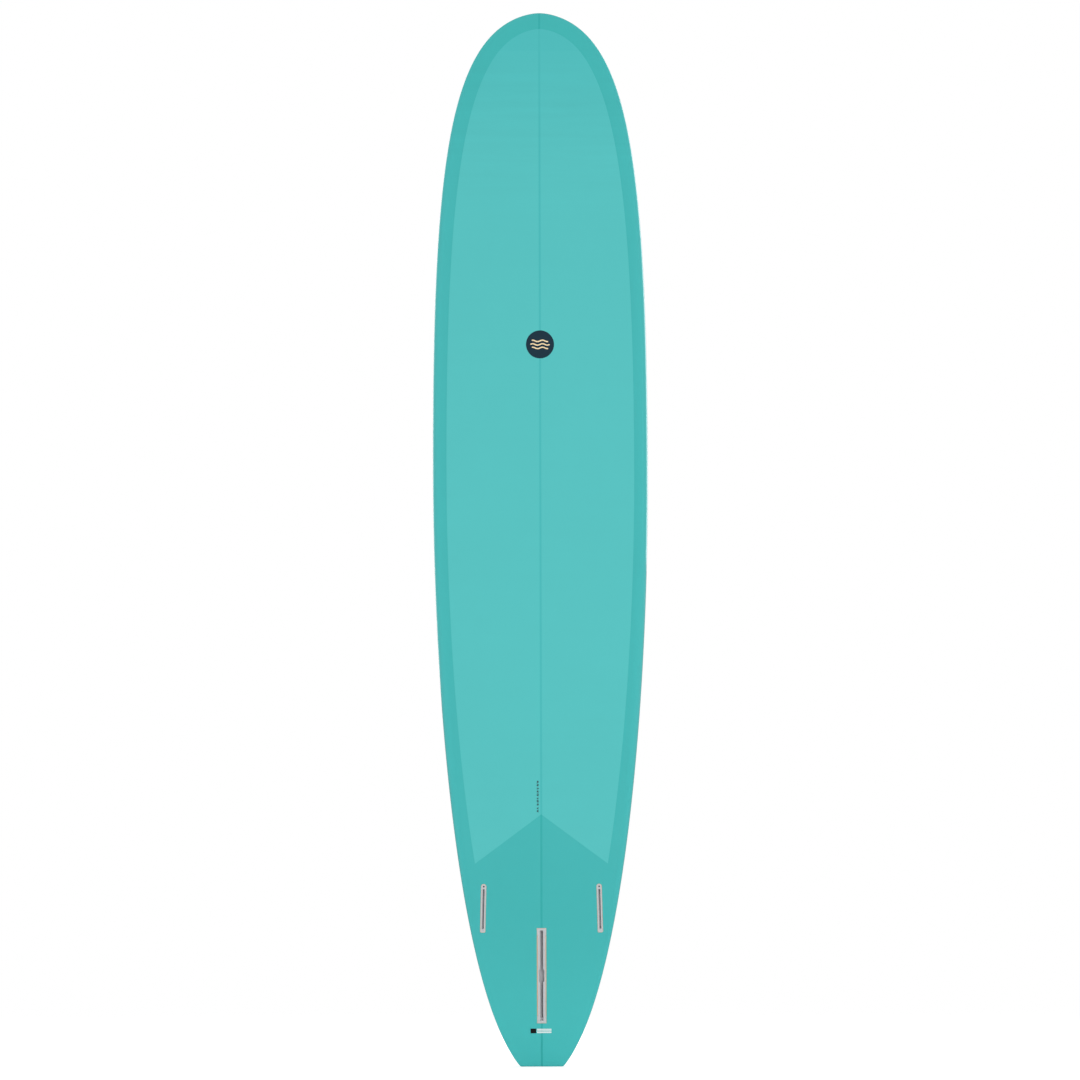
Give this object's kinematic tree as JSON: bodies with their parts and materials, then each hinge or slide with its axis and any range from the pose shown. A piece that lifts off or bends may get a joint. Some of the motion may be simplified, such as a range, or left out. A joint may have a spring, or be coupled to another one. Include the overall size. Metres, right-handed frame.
{
  "type": "surfboard",
  "caption": "Classic longboard surfboard with a round nose, square pulled-in tail, tinted glass skin, wood stringer, a long centre fin box, short side fin boxes and a leash plug.",
  "frame": {"origin": "middle of the flat tail end, the face the board stands on here", "axes": "+Z along the board from the tail end to the nose, -Y out of the bottom (the fin side), +Y out of the deck, +X to the right when the bottom is looked at with the nose up"},
  "size_m": [0.591, 0.1296, 2.896],
  "materials": {
    "panel_tint": "light turquoise tinted resin over fibreglass, polished gloss",
    "band_tint": "deeper turquoise where two tinted layers overlap, polished gloss",
    "clear_glass": "clear fibreglass, hidden under the deck skin",
    "foam": "shaped white foam, closed in by glass",
    "stringer_wood": "sawn wood, closed in by glass",
    "box_plastic": "light grey moulded plastic, satin, sanded flush",
    "clear_resin": "cured casting resin, faint amber",
    "steel": "stainless steel",
    "badge_print": null,
    "pencil": "dark pencil strokes under the gloss, no lettering"
  },
  "bodies": {
    "board": {"foam_left": "foam", "foam_right": "foam", "stringer": "stringer_wood", "bottom_glass": "panel_tint", "deck_glass": "band_tint", "deck_inlay": "clear_glass", "tail_patch": "band_tint", "centre_fin_box": "box_plastic", "centre_box_resin": "clear_resin", "side_fin_box_left": "box_plastic", "side_fin_box_right": "box_plastic", "side_box_resin_left": "clear_resin", "side_box_resin_right": "clear_resin", "leash_plug_cup": "box_plastic", "leash_plug_bar": "steel", "leash_plug_resin": "clear_resin", "badge": "badge_print", "dimension_marks": "pencil"},
    "screw_left": {"side_box_screw_left": "steel"},
    "screw_right": {"side_box_screw_right": "steel"}
  },
  "joints": [
    {"name": "screw_left_travel", "type": "slide", "parent": "board", "child": "screw_left", "axis": [0, 0.9957, 0.0921], "range_m": [-0.0012, 0.004]},
    {"name": "screw_right_travel", "type": "slide", "parent": "board", "child": "screw_right", "axis": [0, 0.9957, 0.0921], "range_m": [-0.0012, 0.004]}
  ]
}
